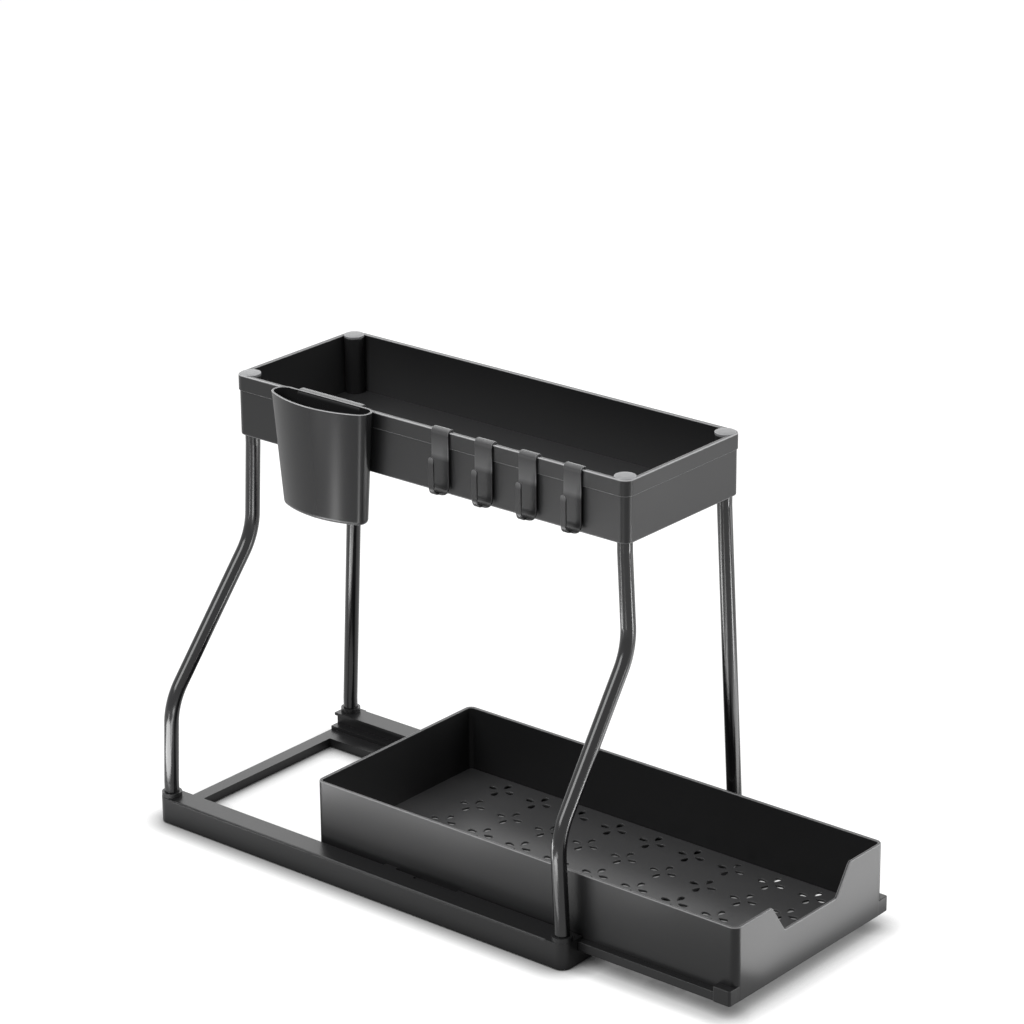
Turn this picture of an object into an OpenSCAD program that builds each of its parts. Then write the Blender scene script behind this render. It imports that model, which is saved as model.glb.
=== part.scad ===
// Two-level organizer for the cupboard under a sink: a frame with a sliding drawer, four tube
// legs, a narrow upper tray, a hanging cup and four hooks. +Y is the rear, the drawer pulls
// out towards -Y, and the tray's hanging side faces -X. The origin is on the floor, under the
// middle of the whole outline with the drawer out. Everything is in millimetres.

/* [Base frame] */
// Length of the base frame, front to rear
base_len = 404; // [394:2:430]
// Width of each side rail outside its groove
rail_w = 15.5; // [15.2:0.1:19]
// Height of the cross bars and side ledges
ledge_h = 7.1; // [6:0.1:9]
// Reach of each side ledge inwards from the groove
ledge_w = 22.1; // [14:0.1:30]
// Width of the front and rear cross bars
bar_w = 11.5; // [10:0.5:18]
// Height of the strips that carry the drawer's runners, above the ledge
strip_h = 3.1; // [2.5:0.1:5]
// Width of the strips that carry the drawer's runners
strip_w = 7.6; // [5:0.1:10]
// Thickness of the lip that holds the runners down
lip_t = 2.3; // [1.8:0.1:3]
// Overlap of the rail's lip over the runner
lip_cover = 2.5; // [2:0.1:3]
// Length of the wider lip at the front of each rail
front_lip_len = 116; // [100:1:130]
// Length of the gap in the lip behind the wider part
lip_gap_len = 40; // [20:1:60]
// Height of the leg sockets above the underside of the frame
socket_h = 24; // [23:0.5:30]
// Side of the square block round each leg in the rails
socket_w = 17.5; // [16.5:0.1:19]
// Diameter of the round socket that rises over each block
socket_d = 15.6; // [14.8:0.1:15.6]
// Wall of the base moulding
base_wall = 2.2; // [1.8:0.1:2.6]
// Distance between the stiffening ribs under the frame
rib_pitch = 44; // [30:1:80]
// Thickness of the stiffening ribs
rib_t = 1.6; // [1.2:0.1:2.2]
// Radius along the outer top edge of the rails
rail_edge_r = 1.6; // [0.8:0.1:2.2]

/* [Legs] */
// Outside diameter of the leg tube
tube_d = 11.5; // [11:0.1:12.2]
// Wall of the leg tube
tube_wall = 0.8; // [0.6:0.1:1.2]
// Distance of each leg's axis from the outer faces of the base
leg_inset = 8; // [7.8:0.1:8.6]
// Height above the floor of the left legs' lower bend
lower_bend_z = 100.3; // [80:1:115]
// Height above the floor of the left legs' upper bend
upper_bend_z = 214.8; // [200:1:240]
// Radius of the left legs' two large bends
bend_r = 50; // [30:1:60]
// Radius of the slight bends beside the sockets
splay_bend_r = 30; // [20:1:40]
// Distance from a socket's mouth to the slight bend
splay_clear = 8; // [5:0.5:15]

/* [Drawer] */
// Length of the drawer
drawer_len = 392.4; // [370:0.2:400]
// Width of the drawer's body
drawer_wid = 178.6; // [165:0.2:187]
// Height of the drawer's walls
drawer_h = 57.9; // [45:0.1:75]
// Wall of the drawer
drawer_wall = 2.4; // [1.8:0.1:2.8]
// Height of the drawer's floor underside above its lower edge
floor_raise = 3.7; // [3:0.1:5]
// Thickness of the drawer's floor
drawer_floor_t = 2; // [1.6:0.1:2.6]
// Radius of the drawer's upright corners
drawer_corner_r = 6; // [4:0.5:10]
// How far the drawer is drawn out of the frame
drawn_out = 120.4; // [60:0.2:140]
// Further travel until the drawer meets its stop
stop_travel = 60; // [40:1:80]
// Width of the runner along each side
runner_w = 5.8; // [5:0.1:7]
// Height of the runners
runner_h = 7.2; // [6:0.1:9]
// Wall of the hollow runners
runner_wall = 1.8; // [1.4:0.1:2.2]
// Length of the block that ends each runner at the front
foot_len = 15.5; // [12:0.5:20]
// Height of the block that ends each runner
foot_h = 12; // [10:0.5:16]
// How far the end block stands out past the runner
foot_out = 1; // [0.5:0.1:1.5]
// Radius of the end block's upright corners
foot_r = 2; // [1:0.5:3]
// Length of the stop lug on each runner
lug_len = 12; // [8:1:20]
// Height of the stop lug above the runner
lug_h = 2.2; // [1.8:0.1:2.6]
// Width of the hand cut-out at the top of the front wall
grip_top_w = 94; // [70:1:120]
// Width of the hand cut-out at its bottom
grip_bottom_w = 63; // [50:1:68]
// Depth of the hand cut-out
grip_depth = 23; // [15:1:30]
// Radius of the hand cut-out's corners
grip_r = 3; // [1:0.5:4]

/* [Drawer floor pattern] */
// Rows of drain flowers across the drawer
flower_rows = 5; // [3:1:5]
// Columns of drain flowers along the drawer
flower_cols = 9; // [5:1:9]
// Distance between rows
row_pitch = 34.5; // [28:0.5:36]
// Distance between columns
col_pitch = 37; // [28:0.5:40]
// Distance from a flower's centre to its petals' tips
petal_reach = 11.6; // [8:0.1:12.5]
// Length of one petal
petal_len = 8; // [5:0.1:9]
// Width of one petal at its round end
petal_w = 4.6; // [3:0.1:5]
// Width of one petal at its inner end
petal_tip = 1.2; // [0.6:0.1:1.8]

/* [Upper tray] */
// Height of the tray's rim above the floor
rim_z = 345; // [320:1:380]
// Length of the tray
tray_len = 378.6; // [350:0.2:388]
// Width of the tray
tray_wid = 135; // [110:0.2:150]
// Height of the tray
tray_h = 48.6; // [40:0.1:60]
// Radius of the tray's upright corners
tray_corner_r = 7.5; // [6:0.1:8.5]
// Wall of the tray below its rim band
tray_wall = 2.4; // [1.8:0.1:2.8]
// Thickness of the tray's floor
tray_floor_t = 2; // [1.6:0.1:2.6]
// Height of the proud band round the tray's rim
band_h = 12.5; // [8:0.5:16]
// How far the band stands out
band_t = 0.9; // [0.5:0.1:1.2]
// Distance of each corner post's axis from the tray's outer faces
post_inset = 8.8; // [8.7:0.1:9.2]
// Diameter of the corner posts
post_d = 15.6; // [15.2:0.1:16]
// Thickness of the web on which the tray stands on its legs
post_web = 2.6; // [2:0.1:4]
// Diameter of the grey caps
cap_d = 16; // [15:0.1:16.2]
// Thickness of the grey caps
cap_t = 1.6; // [1.2:0.1:2.4]
// Length of the spigot under each cap
cap_spigot = 1; // [0.6:0.1:1.4]

/* [Cup] */
// Width of the cup at its rim
cup_wid = 95; // [75:1:110]
// Depth of the cup at its rim, from the tray outwards
cup_depth = 27; // [22:0.2:40]
// Height of the cup
cup_h = 90; // [70:0.5:120]
// Width of the cup's bottom as a share of its rim
cup_taper_w = 0.84; // [0.7:0.01:1]
// Depth of the cup's bottom as a share of its rim
cup_taper_d = 0.8; // [0.7:0.01:1]
// Radius of the cup's round ends, between its flat back and its bowed front
cup_end_r = 9; // [5:0.5:10]
// Wall of the cup
cup_wall = 1.6; // [1.2:0.1:2]
// Distance of the cup's middle from the rear end of the tray
cup_back = 98; // [70:1:130]
// Width of the tab that hangs the cup on the rim
tab_wid = 62; // [40:1:64]
// Thickness of the tab
tab_t = 1.8; // [1.4:0.1:2.4]
// Depth of the tab's lip inside the tray
tab_lip = 9; // [6:0.5:14]

/* [Hooks] */
// Width of a hook's strap
hook_wid = 16; // [12:0.5:20]
// Thickness of a hook
hook_t = 1.6; // [1.4:0.1:2.6]
// Depth of a hook's lip inside the tray
hook_lip = 9; // [6:0.5:14]
// Distance of the first hook from the middle of the tray, towards the front
hook_first = 17.5; // [10:0.5:30]
// Distance between hooks
hook_pitch = 41.2; // [30:0.2:45]
// Height of a hook below the tray's rim
hook_drop = 47.5; // [38:0.5:60]
// Outer radius of the curl at a hook's foot
curl_r = 6; // [4.5:0.1:8]
// Radius of the strap's two lower corners
hook_shoulder_r = 4.5; // [2:0.1:5]
// Width of the tongue that turns up from the curl
tongue_wid = 5.5; // [4:0.5:10]
// Height of the tongue above the hook's lowest point
tongue_h = 30; // [20:1:36]

/* [Fasteners and feet] */
// Diameter of the screw heads
head_d = 7.4; // [6:0.1:7.6]
// Height of the screw heads
head_h = 2.2; // [1.6:0.1:2.4]
// Length of the cross recess in the screw heads
recess_l = 4; // [3:0.1:4.4]
// Width of the cross recess in the screw heads
recess_w = 0.8; // [0.6:0.1:1.2]
// Depth of the cross recess in the screw heads
recess_h = 1.2; // [0.8:0.1:1.3]
// Diameter of the screw shanks
shank_d = 3.2; // [2.8:0.1:3.6]
// Length of the screw shanks
shank_len = 14; // [10:0.5:18]
// Length of the plugs in the tube ends
plug_len = 16; // [12:0.5:20]
// Diameter of the rubber feet
pad_d = 13; // [11:0.5:14]
// Thickness of the rubber feet
pad_t = 2; // [1.6:0.1:3]
// How far the rubber feet stand out below the frame
pad_proud = 1; // [0.5:0.1:1.4]
// Bevel round the rubber feet
pad_bevel = 0.6; // [0.3:0.1:1]

/* [Fits] */
// Gap between a tube and its bore, on the radius
tube_gap = 0.1; // [0.05:0.01:0.2]
// Gap between a plug or cap and its bore, on the radius
plug_gap = 0.05; // [0.02:0.01:0.1]
// Gap round a screw in a web, on the radius
screw_gap = 0.4; // [0.2:0.1:0.6]
// Gap above and below the drawer's runners
run_gap = 0.3; // [0.2:0.1:0.5]
// Gap beside the drawer's runners
side_gap = 0.6; // [0.4:0.1:1]
// Gap between the drawer's body and the wider lip
lip_gap = 0.8; // [0.6:0.1:1.2]
// Gap between the rim and what hangs on it
hang_gap = 0.3; // [0.2:0.1:0.5]

/* [Hidden] */
$fn = 64;
eps = 0.01;
bend_lap = 0.4;
bend_proud = 0.05;
petal_lap = 0.04;

black = [0.09, 0.09, 0.1];
tube_black = [0.05, 0.05, 0.06];
cap_grey = [0.62, 0.63, 0.64];
steel = [0.6, 0.6, 0.62];
rubber_black = [0.04, 0.04, 0.04];

// Heights in the base and under the drawer
base_z = pad_proud;
ledge_z = base_z + ledge_h;
strip_z = ledge_z + strip_h;
runner_z = strip_z + run_gap;
lip_z = runner_z + runner_h + run_gap;
rail_z = lip_z + lip_t;
socket_z = base_z + socket_h;

// Half widths in the base, from its middle outwards
runner_x = drawer_wid / 2 + runner_w;
groove_x = runner_x + side_gap;
lip_x = runner_x - lip_cover;
front_lip_x = drawer_wid / 2 + lip_gap;
strip_x = groove_x - strip_w;
ledge_x = groove_x - ledge_w;
base_x = groove_x + rail_w;
base_y = base_len / 2;

// Legs, plugs and screws
leg_x = base_x - leg_inset;
leg_y = base_y - leg_inset;
bore_d = tube_d + 2 * tube_gap;
tube_in_d = tube_d - 2 * tube_wall;
pocket_d = head_d + 2 * screw_gap;
web_hole_d = shank_d + 2 * screw_gap;
pad_seat_z = pad_t;
head_seat_z = pad_seat_z + head_h + 2 * screw_gap;
tube_foot_z = head_seat_z + post_web;

// Tray, whose right-hand posts stand over the right-hand legs
tray_right_x = leg_x + post_inset;
tray_left_x = tray_right_x - tray_wid;
tray_mid_x = (tray_left_x + tray_right_x) / 2;
post_left_x = tray_left_x + post_inset;
post_y = tray_len / 2 - post_inset;
tray_z = rim_z - tray_h;
cap_seat_z = rim_z - cap_t;
pocket_z = cap_seat_z - cap_spigot - head_h - screw_gap;
tube_top_z = pocket_z - post_web;
rim_t = tray_wall + band_t;

// Cup, whose front is one large arc that runs into the round ends
cup_y = tray_len / 2 - cup_back;
cup_end_y = cup_wid / 2 - cup_end_r;
cup_bow = cup_depth - cup_end_r;
cup_front_r = (cup_bow * cup_bow + cup_end_y * cup_end_y - cup_end_r * cup_end_r) /
    (2 * (cup_bow - cup_end_r));
cup_front_a = atan2(cup_end_y, cup_bow - cup_front_r);

// Drawer
drawer_front_y = -base_y - foot_len - drawn_out;
drawer_mid_y = drawer_front_y + drawer_len / 2;
drawer_z = runner_z;
drawer_top_z = drawer_z + drawer_h;
stop_y = -base_y + front_lip_len;
lug_front_y = stop_y + stop_travel;
runner_back_y = drawer_front_y + drawer_len - drawer_corner_r;

// Middle of the whole outline
centre_x = (max(base_x, tray_right_x) - base_x) / 2;
centre_y = (drawer_front_y + base_y) / 2;

// Turns a unit vector out of any vector
function unit(v) = v / norm(v);

// Centre line of a leg from the base at x0 to the tray at x1, on the side sy
function leg_slant_y(z) =
    leg_y + (post_y - leg_y) * (z - socket_z - splay_clear) /
    (tray_z - splay_clear - socket_z - splay_clear);
function straight_leg_path(x, sy) = [
    [x, sy * leg_y, tube_foot_z],
    [x, sy * leg_y, socket_z + splay_clear],
    [x, sy * post_y, tray_z - splay_clear],
    [x, sy * post_y, tube_top_z]
];
function bent_leg_path(x0, x1, sy) = [
    [x0, sy * leg_y, tube_foot_z],
    [x0, sy * leg_y, socket_z + splay_clear],
    [x0, sy * leg_slant_y(lower_bend_z), lower_bend_z],
    [x1, sy * leg_slant_y(upper_bend_z), upper_bend_z],
    [x1, sy * post_y, tray_z - splay_clear],
    [x1, sy * post_y, tube_top_z]
];

// Tangent length of the arc that rounds the corner at b
function corner_cut(a, b, c, r) = r * tan(acos(unit(b - a) * unit(c - b)) / 2);

// Outline with each corner rounded by an arc of radius r, for angles that turn under 180 degrees
function rounded_outline(pts, r, steps = 6) = [
    for (i = [0 : len(pts) - 1])
        let (a = pts[(i + len(pts) - 1) % len(pts)], b = pts[i], c = pts[(i + 1) % len(pts)])
        let (u = unit(a - b), v = unit(c - b))
        let (half = acos(u * v) / 2, cut = r / tan(half), mid = b + unit(u + v) * r / sin(half))
        let (start = b + u * cut - mid, turn = 180 - 2 * half)
        let (way = cross([u[0], u[1], 0], [v[0], v[1], 0])[2] > 0 ? -1 : 1)
        for (k = [0 : steps])
            let (w = way * turn * k / steps)
            mid + [start[0] * cos(w) - start[1] * sin(w), start[0] * sin(w) + start[1] * cos(w)]
];

// Places a shape at all four corners of a rectangle
module at_corners(x, y) {
    for (sx = [-1, 1], sy = [-1, 1])
        translate([sx * x, sy * y, 0]) children();
}

// Places a shape at the four leg tops, which are not centred on the base
module at_posts() {
    for (x = [post_left_x, leg_x], y = [-post_y, post_y])
        translate([x, y, 0]) children();
}

// Rectangle centred on the origin with round corners
module round_rect(x, y, r) {
    square([x - 2 * r, y], center = true);
    square([x, y - 2 * r], center = true);
    at_corners(x / 2 - r, y / 2 - r) circle(r);
}

// Round bar from a to b
module rod(a, b, d) {
    v = b - a;
    translate(a)
        rotate([0, acos(v[2] / norm(v)), atan2(v[1], v[0])])
            cylinder(d = d, h = norm(v));
}

// Arc of round bar in the corner a, b, c
module elbow(a, b, c, r, d) {
    u = unit(b - a);
    v = unit(c - b);
    turn = acos(u * v);
    n = unit(v - u * (u * v));
    start = -n;
    axis = cross(start, u);
    mid = b - u * corner_cut(a, b, c, r) + n * r;
    multmatrix([
        [start[0], u[0], axis[0], mid[0]],
        [start[1], u[1], axis[1], mid[1]],
        [start[2], u[2], axis[2], mid[2]],
        [0, 0, 0, 1]
    ])
        rotate_extrude(angle = turn)
            translate([r, 0])
                circle(d = d);
}

// Round bar along a path whose corners have the radii in radii; over lengthens both ends.
// The bends are a hair thicker than the straight runs, which lap a little way into them.
module bent_rod(path, radii, d, over = 0) {
    last = len(path) - 1;
    cuts = [
        for (i = [0 : last])
            i == 0 || i == last ? -over
            : corner_cut(path[i - 1], path[i], path[i + 1], radii[i]) - bend_lap
    ];
    for (i = [0 : last - 1]) {
        way = unit(path[i + 1] - path[i]);
        rod(path[i] + way * cuts[i], path[i + 1] - way * cuts[i + 1], d);
    }
    for (i = [1 : last - 1])
        elbow(path[i - 1], path[i], path[i + 1], radii[i], d + bend_proud);
}

// One leg tube, open at both ends
module leg(path, radii) {
    color(tube_black)
        difference() {
            bent_rod(path, radii, tube_d);
            bent_rod(path, radii, tube_in_d, 1);
        }
}

module right_leg(sy) {
    leg(straight_leg_path(leg_x, sy), [0, splay_bend_r, splay_bend_r, 0]);
}

module left_leg(sy) {
    leg(bent_leg_path(-leg_x, post_left_x, sy),
        [0, splay_bend_r, bend_r, bend_r, splay_bend_r, 0]);
}

// Section of the right-hand rail and ledge, hollow from below
module rail_section() {
    difference() {
        union() {
            translate([groove_x, base_z])
                square([rail_w, rail_z - base_z - rail_edge_r]);
            translate([groove_x, base_z])
                square([rail_w - rail_edge_r, rail_z - base_z]);
            translate([base_x - rail_edge_r, rail_z - rail_edge_r])
                circle(rail_edge_r);
            translate([lip_x, lip_z])
                square([groove_x - lip_x + eps, lip_t]);
            translate([strip_x, base_z])
                square([groove_x - strip_x + eps, strip_z - base_z]);
            translate([ledge_x, base_z])
                square([groove_x - ledge_x + eps, ledge_h]);
        }
        translate([groove_x + base_wall, base_z - 1])
            square([rail_w - 2 * base_wall, lip_z - base_z + 1]);
        translate([ledge_x + base_wall, base_z - 1])
            square([ledge_w - base_wall, ledge_h - base_wall + 1]);
    }
}

// One side of the frame: rail, ledge, ribs and the lip's wider front part
module rail() {
    ribs = floor((base_len - 2 * socket_w) / rib_pitch);
    difference() {
        union() {
            rotate([90, 0, 0])
                linear_extrude(base_len, center = true)
                    rail_section();
            translate([front_lip_x, -base_y, lip_z])
                cube([lip_x - front_lip_x + eps, front_lip_len, lip_t]);
            for (i = [0 : ribs]) {
                y = (i - ribs / 2) * (base_len - 2 * socket_w) / (ribs + 1);
                translate([groove_x + eps, y - rib_t / 2, base_z + base_wall])
                    cube([rail_w - 2 * eps, rib_t, lip_z - base_z - base_wall + eps]);
                translate([ledge_x + eps, y - rib_t / 2, base_z + base_wall])
                    cube([ledge_w, rib_t, ledge_h - 2 * base_wall + eps]);
            }
        }
        translate([lip_x - eps, stop_y, lip_z - eps])
            cube([groove_x - lip_x + eps, lip_gap_len, lip_t + 2 * eps]);
    }
}

// Cross bar, hollow from below, with its ends closed inside the rails
module cross_bar() {
    difference() {
        translate([-groove_x - base_wall / 2, base_y - bar_w, base_z])
            cube([2 * groove_x + base_wall, bar_w, ledge_h]);
        translate([-strip_x, base_y - bar_w + base_wall, base_z - 1])
            cube([2 * strip_x, bar_w - 2 * base_wall, ledge_h - base_wall + 1]);
    }
    bays = floor(2 * ledge_x / rib_pitch);
    for (i = [1 : bays - 1])
        translate([-ledge_x + i * 2 * ledge_x / bays - rib_t / 2, base_y - bar_w + eps,
                   base_z + base_wall])
            cube([rib_t, bar_w - 2 * eps, ledge_h - 2 * base_wall + eps]);
}

module base_frame() {
    color(black)
        difference() {
            intersection() {
                union() {
                    rail();
                    mirror([1, 0, 0]) rail();
                    cross_bar();
                    mirror([0, 1, 0]) cross_bar();
                    at_corners(base_x - socket_w / 2, base_y - socket_w / 2)
                        translate([0, 0, base_z])
                            linear_extrude(rail_z - base_z)
                                square(socket_w, center = true);
                    at_corners(leg_x, leg_y)
                        translate([0, 0, base_z])
                            cylinder(d = socket_d, h = socket_h);
                }
                translate([0, 0, -1])
                    linear_extrude(socket_z + 2)
                        round_rect(2 * base_x, base_len, leg_inset);
            }
            // Groove for the runners, through the sockets as well
            translate([-groove_x, -base_y - 1, strip_z])
                cube([2 * groove_x, base_len + 2, lip_z - strip_z]);
            at_corners(leg_x, leg_y) {
                translate([0, 0, tube_foot_z])
                    cylinder(d = bore_d, h = socket_z);
                translate([0, 0, -1])
                    cylinder(d = web_hole_d, h = socket_z);
                translate([0, 0, -1])
                    cylinder(d = pocket_d, h = head_seat_z + 1);
                translate([0, 0, -1])
                    cylinder(d = pad_d + 2 * plug_gap, h = pad_seat_z + 1);
            }
        }
}

// Rubber foot with a soft edge, pressed into the underside over its screw
module foot_pad() {
    r = pad_d / 2;
    color(rubber_black)
        rotate_extrude()
            polygon([[0, 0], [r - pad_bevel, 0], [r, pad_bevel], [r, pad_t], [0, pad_t]]);
}

module foot_at(sx, sy) {
    translate([sx * leg_x, sy * leg_y, 0]) foot_pad();
}

// Pan-head screw with its head's seat at the origin and its shank along +Z
module screw() {
    crown_h = head_h / 3;
    color(steel)
        difference() {
            union() {
                translate([0, 0, -head_h])
                    cylinder(d = head_d - 2 * crown_h, h = head_h);
                translate([0, 0, crown_h - head_h])
                    cylinder(d = head_d, h = head_h - crown_h);
                cylinder(d = shank_d, h = shank_len);
            }
            for (turn = [0, 90])
                rotate([0, 0, turn])
                    translate([-recess_l / 2, -recess_w / 2, -head_h - 1])
                        cube([recess_l, recess_w, 1 + recess_h]);
        }
}

// Plug that fills a tube's end from the origin upwards
module tube_plug() {
    color(black)
        difference() {
            cylinder(d = tube_in_d - 2 * plug_gap, h = plug_len);
            translate([0, 0, -1])
                cylinder(d = shank_d + 2 * plug_gap, h = plug_len + 2);
        }
}

module leg_base_plugs() {
    at_corners(leg_x, leg_y)
        translate([0, 0, tube_foot_z]) tube_plug();
}

module leg_top_plugs() {
    at_posts()
        translate([0, 0, tube_top_z]) mirror([0, 0, 1]) tube_plug();
}

module base_screws() {
    at_corners(leg_x, leg_y)
        translate([0, 0, head_seat_z]) screw();
}

module tray_screws() {
    at_posts()
        translate([0, 0, pocket_z]) mirror([0, 0, 1]) screw();
}

// One petal of a drain flower, pointing along +X, round at its far end
module petal() {
    r = petal_w / 2;
    far = petal_reach - r;
    near = petal_reach - petal_len;
    translate([far, 0]) circle(r);
    polygon([
        [near, -petal_tip / 2], [far, petal_lap - r], [far, r - petal_lap], [near, petal_tip / 2]
    ]);
}

module flower() {
    for (turn = [0 : 90 : 270])
        rotate(turn) petal();
}

// Hand cut-out in the front wall, seen from the front, with its top at the origin
module grip_outline() {
    polygon(rounded_outline([
        [-grip_bottom_w / 2, -grip_depth], [grip_bottom_w / 2, -grip_depth],
        [grip_top_w / 2, 0], [grip_top_w / 2, grip_depth],
        [-grip_top_w / 2, grip_depth], [-grip_top_w / 2, 0]
    ], grip_r));
}

// Floor of the drawer with its pattern of drain holes
module drawer_floor() {
    translate([0, drawer_mid_y, drawer_z + floor_raise])
        linear_extrude(drawer_floor_t)
            difference() {
                square([drawer_wid - drawer_wall, drawer_len - drawer_wall], center = true);
                for (row = [0 : flower_rows - 1], col = [0 : flower_cols - 1])
                    translate([(row - (flower_rows - 1) / 2) * row_pitch,
                               (col - (flower_cols - 1) / 2) * col_pitch])
                        flower();
            }
}

module drawer() {
    half = drawer_wid / 2;
    color(black) {
        drawer_floor();
        difference() {
            union() {
                translate([0, drawer_mid_y, drawer_z])
                    linear_extrude(drawer_h)
                        round_rect(drawer_wid, drawer_len, drawer_corner_r);
                // Runners, their end blocks and the stop lugs
                translate([-runner_x, drawer_front_y + drawer_corner_r, drawer_z])
                    cube([2 * runner_x, drawer_len - 2 * drawer_corner_r, runner_h]);
                translate([0, drawer_front_y + foot_len / 2, drawer_z])
                    linear_extrude(foot_h)
                        round_rect(2 * (runner_x + foot_out), foot_len, foot_r);
                for (sx = [-1, 1])
                    translate([sx * (half + runner_w / 4), lug_front_y + lug_len / 2,
                               drawer_z + runner_h + lug_h / 2])
                        cube([runner_w / 2, lug_len, lug_h + eps], center = true);
            }
            // Inside, above and below the floor
            translate([0, drawer_mid_y, drawer_z - 1])
                linear_extrude(drawer_h + 2)
                    round_rect(drawer_wid - 2 * drawer_wall, drawer_len - 2 * drawer_wall,
                               drawer_corner_r - drawer_wall);
            // Hollow of each runner
            for (sx = [-1, 1])
                translate([sx * (half + (runner_w - runner_wall) / 2),
                           (drawer_front_y + foot_len + runner_back_y) / 2, drawer_z - 1])
                    translate([0, 0, (runner_h - runner_wall + 1) / 2])
                        cube([runner_w - runner_wall, runner_back_y - drawer_front_y
                              - foot_len - 2 * runner_wall, runner_h - runner_wall + 1],
                             center = true);
            translate([0, drawer_front_y - 1, drawer_top_z])
                rotate([90, 0, 0])
                    linear_extrude(2 * drawer_wall + 2, center = true)
                        grip_outline();
        }
        // Ribs under the floor, between the columns of flowers
        for (i = [1 : 2 : flower_cols - 1])
            translate([-half + drawer_wall / 2,
                       drawer_mid_y + (i - flower_cols / 2) * col_pitch - rib_t / 2,
                       drawer_z + run_gap])
                cube([drawer_wid - drawer_wall, rib_t, floor_raise]);
    }
}

module upper_tray() {
    body_wid = tray_wid - 2 * band_t;
    body_len = tray_len - 2 * band_t;
    body_r = tray_corner_r - band_t;
    color(black)
        difference() {
            union() {
                difference() {
                    translate([tray_mid_x, 0, 0]) {
                        translate([0, 0, tray_z])
                            linear_extrude(tray_h - band_h + eps)
                                round_rect(body_wid, body_len, body_r);
                        translate([0, 0, rim_z - band_h])
                            linear_extrude(band_h)
                                round_rect(tray_wid, tray_len, tray_corner_r);
                    }
                    translate([tray_mid_x, 0, tray_z + tray_floor_t])
                        linear_extrude(tray_h)
                            round_rect(body_wid - 2 * tray_wall, body_len - 2 * tray_wall,
                                       body_r - tray_wall);
                }
                at_posts()
                    translate([0, 0, tray_z])
                        cylinder(d = post_d, h = cap_seat_z - tray_z);
            }
            at_posts() {
                translate([0, 0, cap_seat_z])
                    cylinder(d = cap_d + 2 * plug_gap, h = cap_t + 1);
                translate([0, 0, pocket_z])
                    cylinder(d = pocket_d, h = tray_h);
                translate([0, 0, tray_z])
                    cylinder(d = web_hole_d, h = tray_h);
                translate([0, 0, tray_z - 1])
                    cylinder(d = bore_d, h = tube_top_z - tray_z + 1);
            }
        }
}

// Grey cap over a screw, with a spigot that seats in the screw's pocket
module cap_at(x, sy) {
    color(cap_grey)
        translate([x, sy * post_y, cap_seat_z]) {
            cylinder(d = cap_d, h = cap_t);
            translate([0, 0, -cap_spigot])
                cylinder(d = pocket_d - 2 * plug_gap, h = cap_spigot + eps);
        }
}

// Points of an arc round mid from the angle a0 to a1
function arc_points(mid, r, a0, a1, steps) = [
    for (i = [0 : steps])
        let (a = a0 + (a1 - a0) * i / steps)
            mid + r * [cos(a), sin(a)]
];

// Plan of the cup, from its flat back at the origin towards -X, drawn in by cut all round
module cup_plan(cut = 0) {
    r = cup_end_r - cut;
    steps = 16;
    step = (360 - 2 * cup_front_a) / steps;
    polygon(concat(
        arc_points([-cup_end_r, cup_end_y], r, 0, cup_front_a, steps),
        arc_points([cup_front_r - cup_depth, 0], cup_front_r - cut,
                   cup_front_a + step, 360 - cup_front_a - step, steps - 2),
        arc_points([-cup_end_r, -cup_end_y], r, 360 - cup_front_a, 360, steps)
    ));
}

// Solid of the cup narrowing downwards from its rim, with its flat back upright
module cup_form(cut, h) {
    share = h / cup_h;
    mirror([0, 0, 1])
        linear_extrude(h, slices = 1,
                       scale = [1 - (1 - cup_taper_d) * share, 1 - (1 - cup_taper_w) * share])
            cup_plan(cut);
}

module cup() {
    back_x = tray_left_x - hang_gap;
    clip = rim_t + 2 * hang_gap;
    lip_h = tab_lip + hang_gap + tab_t;
    color(black)
        translate([back_x, cup_y, rim_z + hang_gap + tab_t]) {
            difference() {
                cup_form(0, cup_h);
                translate([0, 0, eps])
                    cup_form(cup_wall, cup_h - cup_wall);
            }
            // Tab up the back, over the rim and down inside
            translate([-tab_t, -tab_wid / 2, -lip_h])
                cube([tab_t, tab_wid, lip_h]);
            translate([-tab_t, -tab_wid / 2, -tab_t])
                cube([tab_t + clip + tab_t, tab_wid, tab_t]);
            translate([clip, -tab_wid / 2, -lip_h])
                cube([tab_t, tab_wid, lip_h]);
        }
}

// Front view of a hook's strap, from its top at the origin down to its round shoulders
module strap_face(h) {
    r = hook_shoulder_r;
    translate([-hook_wid / 2, r - h]) square([hook_wid, h - r]);
    translate([r - hook_wid / 2, -h]) square([hook_wid - 2 * r, h]);
    for (sx = [-1, 1])
        translate([sx * (hook_wid / 2 - r), r - h]) circle(r);
}

// Side view of a hook's curl, open at the top
module hook_curl() {
    difference() {
        circle(curl_r);
        circle(curl_r - hook_t);
        translate([-curl_r - 1, 0])
            square([2 * curl_r + 2, curl_r + 1]);
    }
}

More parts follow.
